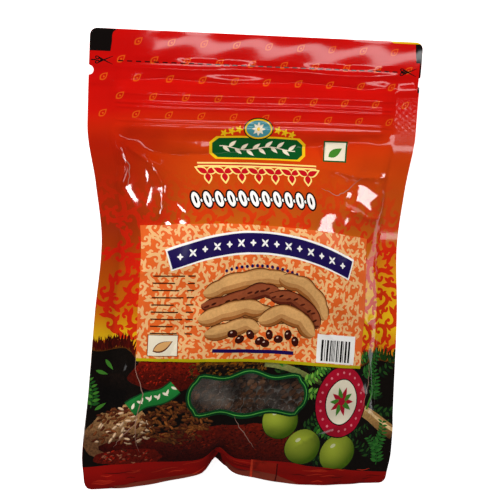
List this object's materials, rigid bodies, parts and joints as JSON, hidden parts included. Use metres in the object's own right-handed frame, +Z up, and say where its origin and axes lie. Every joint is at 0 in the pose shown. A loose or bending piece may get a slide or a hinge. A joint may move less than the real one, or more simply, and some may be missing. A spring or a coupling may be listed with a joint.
{
  "type": "resealable food pouch",
  "caption": "Sealed printed film pouch with a press-to-close zipper, bottom gusset, front label and clear window, filled with tamarind.",
  "frame": {"origin": "middle of the pouch's underside, on the surface that it lies on", "axes": "+X across the pouch, +Y towards the zipper end, +Z up out of the printed front"},
  "size_m": [0.145, 0.2, 0.0335],
  "materials": {
    "printed_film": "gloss",
    "clear_film": "gloss",
    "zipper_plastic": "satin",
    "label_paper": "satin",
    "tamarind": "satin"
  },
  "bodies": {
    "root": {"front_film": "printed_film", "back_film": "printed_film", "gusset_film": "clear_film", "zipper_rib": "zipper_plastic", "zipper_groove": "zipper_plastic", "sticker": "label_paper", "tamarind": "tamarind"}
  },
  "joints": []
}
